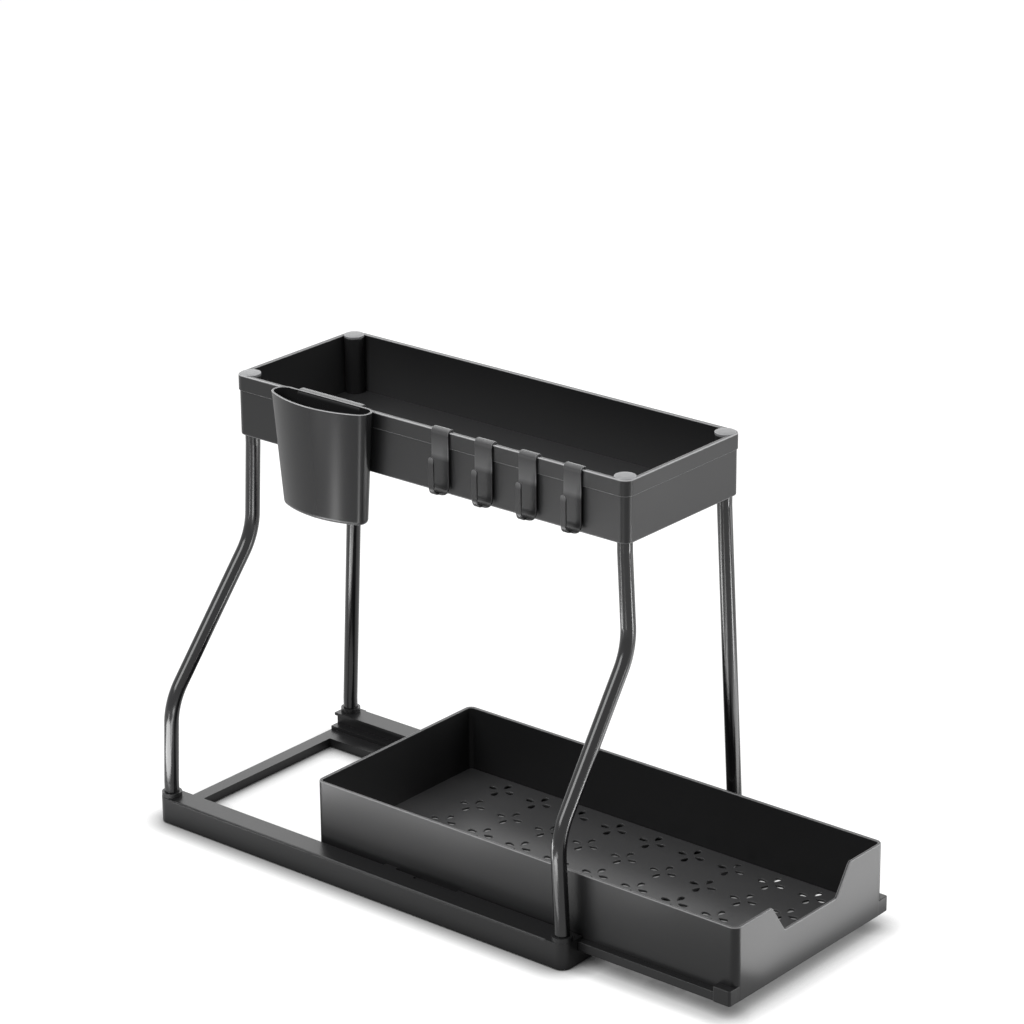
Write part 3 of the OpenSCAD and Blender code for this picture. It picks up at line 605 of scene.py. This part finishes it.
# Inside, the foot of the walls runs in just below the top of the floor plate, which laps over it
plate_lap = plate_top - SET_BACK
profile, marks = rounded([(WALL, under, WALL_FOOT_R), (WALL, plate_lap - LAP, LAP_R),
                          (WALL + LAP, plate_lap - LAP, LAP_R),
                          (WALL + LAP, plate_lap, LAP_EDGE_R), (WALL, plate_lap, 0),
                          (WALL, top, RIM_R, RIM_HIGHLIGHT), (0, top, RIM_R, RIM_HIGHLIGHT),
                          (0, under, WALL_FOOT_R)], closed=True)
walls = moulding(plan, profile, marks, centre, closed=True)
# The rim rows follow the hand cut-out down
front_columns = 3 * CORNER_POINTS + np.arange(len(cut))
rim_rows = profile[:, 1] > top - 2 * RIM_R
walls[0][np.ix_(rim_rows, front_columns, [2])] += cut[:, 1][None, :, None]
shells = [walls] + petal_cells(FLOWER_PITCH, (FLOWER_ROWS, FLOWER_COLS), plate_top)
for shell in shells[1:]:
    shell[0][..., :2] += centre
field = FLOWER_PITCH * [FLOWER_ROWS, FLOWER_COLS] / 2
side_x = np.linspace(-field[0], field[0], FLOWER_ROWS * CELL_STEPS + 1)
for sign in (-1, 1):
    ends_y = np.array([field[1], half_y - WALL / 2, half_y - WALL / 2, field[1]]) * sign
    ends_z = np.array([plate_top, plate_top, plate_top - PLATE_T, plate_top - PLATE_T])
    end = np.stack(np.broadcast_arrays(side_x[None] + centre[0], ends_y[:, None] + centre[1],
                                       ends_z[:, None]), axis=-1)
    shells.append((end, grid_faces(4, len(side_x), close_cols=False), FLOOR_PAINTED_LIGHT))
y0, y1 = centre[1] - half_y, centre[1] + half_y
for sign in (-1, 1):
    # The runner, the lug on it, the end block, and its front across the drawer's round corner
    reaches = [(DRAWER_SIDE - ROOT, DRAWER_SIDE + RUNNER_OUT),
               (DRAWER_SIDE - ROOT, DRAWER_SIDE + LUG_OUT),
               (DRAWER_SIDE - WALL + SET_BACK, high[0] - centre[0]),
               (DRAWER_SIDE - INFILL_IN, DRAWER_SIDE + BLOCK_R)]
    runner, lug, ends, infill = [sorted(centre[0] + sign * np.array(reach)) for reach in reaches]
    shells.append(block((runner[0], y0 + DRAWER_CORNER_R, under),
                        (runner[1], y1 - DRAWER_CORNER_R, under + RUNNER_H), *RUNNER_ROUNDS))
    lug_y = y0 + LUG_BEHIND_FRONT
    shells.append(block((lug[0], lug_y, under + RUNNER_H - ROOT),
                        (lug[1], lug_y + LUG_L, under + RUNNER_H + LUG_H), *LUG_ROUNDS))
    shells.append(block((ends[0], y0 + SET_BACK, under + SET_BACK),
                        (ends[1], y0 + BLOCK_L, under + BLOCK_H), BLOCK_R, BLOCK_EDGE_R))
    shells.append(block((infill[0], y0 + 1.5 * SET_BACK, under + 2 * SET_BACK),
                        (infill[1], y0 + WALL - SET_BACK, under + BLOCK_H - SET_BACK),
                        *INFILL_ROUNDS))
for i in range(1, FLOWER_COLS, 2):
    rib_y = centre[1] + (i - FLOWER_COLS / 2) * FLOWER_PITCH[1]
    shells.append(block((centre[0] - DRAWER_SIDE + ROOT, rib_y - RIB_HALF, under + RIB_UNDER),
                        (centre[0] + DRAWER_SIDE - ROOT, rib_y + RIB_HALF, plate_top - ROOT),
                        *RIB_ROUNDS))
drawer = new_piece("drawer_moulding", *shells)
finish_piece(drawer, black_plastic, "drawer", "black_plastic", "drawer")

# The upper tray: one black plastic moulding with a floor, thin walls and a band that stands proud
# round the rim. A post in each corner takes a leg from below and a screw from above.
TRAY_CORNER_R = 0.0075
BAND_H = 0.0125
BAND_T = 0.0009
RIM_T = 0.0033
TRAY_FLOOR_T = 0.002
TRAY_FLOOR_EDGE = 0.006
# Painted light: the tray's floor is coloured lighter than its walls, in place of the light it
# catches
TRAY_FLOOR_PAINTED_LIGHT = 0.04
# Corner radius and painted highlight
TRAY_FOOT = (0.0014, 0.15)
BAND_STEP_R = 0.0002
BAND_FOOT = (0.0003, 0.6)
RIM_OUTSIDE = (0.0011, 1.0)
RIM_INSIDE = (0.0009, 0.8)
POST_INSET = 0.0088
POST_R = 0.0078
POST_FOOT = 0.0005
POST_EDGE_R = 0.0006
ROUND = 0.9999
CAP_T = 0.0016
low, high = (np.array(corner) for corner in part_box("upper_tray"))
centre = (low + high)[:2] / 2
half = (high - low) / 2
band_z = high[2] - BAND_H
floor_z = low[2] + TRAY_FLOOR_T
# Inset, height, corner radius and painted highlight, from under the floor round the wall to its top
# side
profile, marks = rounded([(TRAY_FLOOR_EDGE, low[2], 0), (BAND_T, low[2], *TRAY_FOOT),
                          (BAND_T, band_z, BAND_STEP_R), (0, band_z, *BAND_FOOT),
                          (0, high[2], *RIM_OUTSIDE), (RIM_T, high[2], *RIM_INSIDE),
                          (RIM_T, floor_z, 0), (TRAY_FLOOR_EDGE, floor_z, 0)])
marks[-2:] = TRAY_FLOOR_PAINTED_LIGHT
shells = [moulding(rounded_plan(half[0], half[1], TRAY_CORNER_R), profile, marks, centre)]
posts = [(sx * (half[0] - POST_INSET) + centre[0], sy * (half[1] - POST_INSET) + centre[1])
         for sx in (-1, 1) for sy in (-1, 1)]
for x, y in posts:
    shells.append(block((x - POST_R, y - POST_R, low[2] + POST_FOOT),
                        (x + POST_R, y + POST_R, high[2] - CAP_T), POST_R * ROUND, POST_EDGE_R))
tray = new_piece("tray_moulding", *shells)
finish_piece(tray, black_plastic, "rack", "black_plastic", "upper_tray")

# The caps: light grey plastic discs, moulded with a slight dome. They are pressed into the posts
# over the screws and stand barely proud of the rim.
CAP_GREY = (0.15, 0.152, 0.155)
# Painted highlight: a lighter grey on the cap's round edge, in place of the light it catches
CAP_EDGE_HIGHLIGHT = (0.30, 0.30, 0.31)
CAP_R = 0.008
CAP_PROUD = 0.0003
CAP_DOME = 0.0006
CAP_INNER = CAP_R * 0.9
CAP_FOOT_R = 0.0002
CAP_EDGE_R = 0.0004
CAP_CROWN_R = 0.004
CAP_ROUGH = 0.42
CAP_GRAIN = 0.3
CAP_GLOSS = 0.5
grey_plastic = moulded_plastic("grey_cap_plastic", CAP_GREY, CAP_EDGE_HIGHLIGHT, CAP_ROUGH,
                               grain=CAP_GRAIN, gloss_level=CAP_GLOSS)
for name, (x, y) in zip(("left_front", "left_rear", "right_front", "right_rear"), posts):
    seat, edge, crown = high[2] + np.array([-CAP_T, CAP_PROUD, CAP_DOME])
    profile, marks = rounded([(CAP_INNER, seat, 0), (0, seat, CAP_FOOT_R), (0, edge, CAP_EDGE_R, 1),
                              (CAP_R / 2, crown, CAP_CROWN_R), (CAP_INNER, crown, 0)])
    cap = new_piece(name + "_disc", moulding(rounded_plan(CAP_R, CAP_R, CAP_R * ROUND), profile,
                                             marks, np.array([x, y])))
    finish_piece(cap, grey_plastic, "rack", "grey_cap", name + "_cap")

# The hooks: thin flat strips of the same black plastic. Each clips over the rim and hangs down the
# wall to two round shoulders, from which a slim tongue curls up again and ends in a round tip.
HOOK_T = 0.0016
HOOK_W = 0.016
SHOULDER_R = 0.0045
TONGUE_W = 0.0046
TONGUE_UP = 0.030
HOOK_EDGE_R = 0.0005
CLIP_IN = 0.0109
CLIP_BEND_R = 0.0022
CURL_R = 0.0052
CURL_SHARE = 0.999
HOOK_STEP = 0.0004
TIP_W = 0.0002
MOST_ROUND = 0.45
FLAT_SHARE = 0.3
# Painted highlight along the hooks, strongest at the tongue's tip and the bend over the rim
HOOK_HIGHLIGHT = 0.03
PEAK_HIGHLIGHT = 0.5
TIP_FADE = (0.005, 0.001)
CLIP_FADE = 0.004


def strip(line, width, thick, edge_r, y, mark):
    """Flat strip in the x-z plane: a rectangle width(s) by thick with rounded corners is carried
    along the line. Its corners take the painted highlight of their place on the line, and its flats
    a share of that highlight. Both ends close on a pole."""
    way = np.gradient(line, axis=0)
    way /= np.linalg.norm(way, axis=1, keepdims=True)
    side = np.stack([-way[:, 1], way[:, 0]], axis=1)
    corner, direction = [], []
    for k, signs in enumerate([(1, 1), (-1, 1), (-1, -1), (1, -1)]):
        angle = np.linspace(0, math.pi / 2, ARC_STEPS + 1) + k * math.pi / 2
        direction.append(np.stack([np.cos(angle), np.sin(angle)], axis=1))
        corner.append(np.tile(signs, (ARC_STEPS + 1, 1)))
    direction = np.concatenate(direction)
    corner = np.concatenate(corner)
    soft = np.minimum(edge_r, width * MOST_ROUND)
    across = corner[:, 0] * (width / 2 - soft)[:, None] + soft[:, None] * direction[:, 0]
    through = corner[:, 1] * (thick / 2 - soft)[:, None] + soft[:, None] * direction[:, 1]
    grid = np.empty((len(line), len(corner), 3))
    grid[..., 0] = line[:, :1] + side[:, :1] * through
    grid[..., 1] = y + across
    grid[..., 2] = line[:, 1:] + side[:, 1:] * through
    poles = np.repeat(grid[[0, -1]].mean(axis=1, keepdims=True), len(corner), axis=1)
    grid = np.concatenate([poles[:1], grid, poles[1:]])
    over_arc = np.tile(np.sin(math.pi * np.linspace(0, 1, ARC_STEPS + 1)), 4)
    spread = FLAT_SHARE + (1 - FLAT_SHARE) * over_arc
    marks = np.concatenate([[0], mark, [0]])[:, None] * spread
    return grid, grid_faces(*grid.shape[:2]), marks


def walked(line, step):
    """The same line with points at an even step, and each point's length along it."""
    length = np.concatenate([[0], np.cumsum(np.linalg.norm(np.diff(line, axis=0), axis=1))])
    s = np.linspace(0, length[-1], int(length[-1] / step) + 1)
    return np.stack([np.interp(s, length, line[:, i]) for i in range(2)], axis=1), s


for k in range(4):
    node = f"hook_{k + 1}"
    low, high = (np.array(corner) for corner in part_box(node))
    t = HOOK_T / 2
    inner_x, outer_x = high[0] - t, low[0] + t
    strap_x = outer_x + 2 * CURL_R
    top_z, bottom_z, tip_z = high[2] - t, low[2] + t, low[2] + TONGUE_UP
    line = rounded([(inner_x, high[2] - CLIP_IN, 0), (inner_x, top_z, CLIP_BEND_R),
                    (strap_x, top_z, CLIP_BEND_R), (strap_x, bottom_z, CURL_R * CURL_SHARE),
                    (outer_x, bottom_z, CURL_R * CURL_SHARE), (outer_x, tip_z, 0)])[0]
    line, s = walked(line, HOOK_STEP)
    left = s[-1] - s
    before_lowest = s[np.argmin(line[:, 1])] - s
    on_strap = before_lowest > 0
    short = np.clip(SHOULDER_R - before_lowest, 0, SHOULDER_R)
    shoulder = HOOK_W - 2 * (SHOULDER_R - np.sqrt(SHOULDER_R ** 2 - short ** 2))
    tip = np.clip(left / (TONGUE_W / 2), 0, 1)
    tongue = TONGUE_W * np.sqrt(1 - (1 - tip) ** 2) + TIP_W
    width = np.where(on_strap, shoulder, tongue)
    # Painted highlights at the height of the tongue's tip and at the bend over the rim
    mark = np.interp(line[:, 1],
                     [tip_z - TIP_FADE[0], tip_z - TIP_FADE[1], top_z - CLIP_FADE, top_z],
                     [HOOK_HIGHLIGHT, PEAK_HIGHLIGHT, HOOK_HIGHLIGHT, PEAK_HIGHLIGHT])
    hook = new_piece(f"hook_strip_{k + 1}",
                     strip(line, width, HOOK_T, HOOK_EDGE_R, (low + high)[1] / 2, mark))
    finish_piece(hook, black_plastic, node, "black_plastic", node)

# The cup: a thin tapered cup of a smoother black plastic, with a flat back, round ends and a front
# that is one wide arc. It hangs on the rim by a wide tab that is flush with the cup's own rim.
CUP_H = 0.090
CUP_W = 0.095
CUP_DEPTH = 0.027
CUP_END_R = 0.009
CUP_WALL = 0.0016
CUP_TAPER = np.array([0.80, 0.84])
# Corner radius and painted highlight
CUP_FOOT = (0.0035, 0.1)
CUP_RIM_OUTSIDE = (0.0006, 1.0)
CUP_RIM_INSIDE = (0.0006, 0.8)
CUP_FLOOR_R = 0.002
CUP_FLOOR_EDGE = 0.006
TAB_W = 0.062
TAB_T = 0.0018
TAB_DROP = 0.0111
TAB_BEND_R = 0.0012
TAB_EDGE_R = 0.0006
TAB_STEP = 0.0008
# Painted highlight along the tab's bend over the rim
TAB_HIGHLIGHT = 0.3
MARK_FADE = 0.003
CUP_ROUGH = 0.24
CUP_GRAIN = 0.02
END_STEPS = 14
FRONT_STEPS = 32


def arc(middle, r, a0, a1, steps):
    """Points of an arc of radius r round middle and their normals, anticlockwise from a0 to a1."""
    angle = np.linspace(a0, a1, steps + 1)
    normal = np.stack([np.cos(angle), np.sin(angle)], axis=1)
    return np.array(middle) + r * normal, normal


low, high = (np.array(corner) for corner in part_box("cup"))
back = np.array([low[0] + CUP_DEPTH, (low + high)[1] / 2])
end_y = CUP_W / 2 - CUP_END_R
bow = CUP_DEPTH - CUP_END_R
front_r = (bow ** 2 + end_y ** 2 - CUP_END_R ** 2) / (2 * (bow - CUP_END_R))
turn = math.atan2(end_y, bow - front_r)
arcs = [arc((-CUP_END_R, end_y), CUP_END_R, 0, turn, END_STEPS),
        arc((front_r - CUP_DEPTH, 0), front_r, turn, 2 * math.pi - turn, FRONT_STEPS),
        arc((-CUP_END_R, -end_y), CUP_END_R, 2 * math.pi - turn, 2 * math.pi, END_STEPS)]
plan = [np.concatenate([part[i] for part in arcs]) for i in range(2)]
profile, marks = rounded([(CUP_FLOOR_EDGE, low[2], 0), (0, low[2], *CUP_FOOT),
                          (0, high[2], *CUP_RIM_OUTSIDE), (CUP_WALL, high[2], *CUP_RIM_INSIDE),
                          (CUP_WALL, low[2] + CUP_WALL, CUP_FLOOR_R),
                          (CUP_FLOOR_EDGE, low[2] + CUP_WALL, 0)])
depth_share = (high[2] - profile[:, 1, None, None]) / CUP_H
cup_shell = moulding(plan, profile, marks, back, drawn_in=1 - (1 - CUP_TAPER) * depth_share)
t = TAB_T / 2
tab_top = high[2] - t + SET_BACK
tab_bottom = high[2] - TAB_DROP
tab_corners = [(back[0] - t, tab_bottom, 0), (back[0] - t, tab_top, TAB_BEND_R),
               (high[0] - t, tab_top, TAB_BEND_R), (high[0] - t, tab_bottom, 0)]
tab_line = walked(rounded(tab_corners)[0], TAB_STEP)[0]
tab_highlight = np.interp(tab_line[:, 1], [tab_top - MARK_FADE, tab_top], [0, TAB_HIGHLIGHT])
tab = strip(tab_line, np.full(len(tab_line), TAB_W), TAB_T, TAB_EDGE_R, back[1], tab_highlight)
cup = new_piece("cup_moulding", cup_shell, tab)
smooth_plastic = moulded_plastic("smooth_black_plastic", BLACK, EDGE_HIGHLIGHT_GREY, CUP_ROUGH,
                                 grain=CUP_GRAIN)
finish_piece(cup, smooth_plastic, "cup", "black_plastic", "cup")

# The hidden hardware: zinc-plated steel screws, which hold the tubes to the base and the tray by
# black plastic plugs pressed into the tube ends, and soft rubber feet over the base screws. No
# side shows more of them than their own solids give, so each keeps its solid.
STEEL = (0.55, 0.55, 0.57)
RUBBER = (0.02, 0.02, 0.02)
STEEL_ROUGH = (0.25, 0.45)
BRUSH_SCALE = 900.0
RUBBER_ROUGH = 0.75
RUBBER_GRAIN = 0.5
screw_steel, tree, shader = new_material("zinc_plated_steel")
shader.inputs["Base Color"].default_value = (*STEEL, 1)
shader.inputs["Metallic"].default_value = 1.0
vary_roughness(tree, shader, noise(tree, BRUSH_SCALE, 3.0), *STEEL_ROUGH)
rubber = moulded_plastic("foot_rubber", RUBBER, RUBBER, RUBBER_ROUGH, grain=RUBBER_GRAIN)
for name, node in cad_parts.items():
    if node.hide_render:
        continue
    node.data.materials.clear()
    finish = screw_steel if "screws" in name else rubber if "foot" in name else black_plastic
    node.data.materials.append(finish)
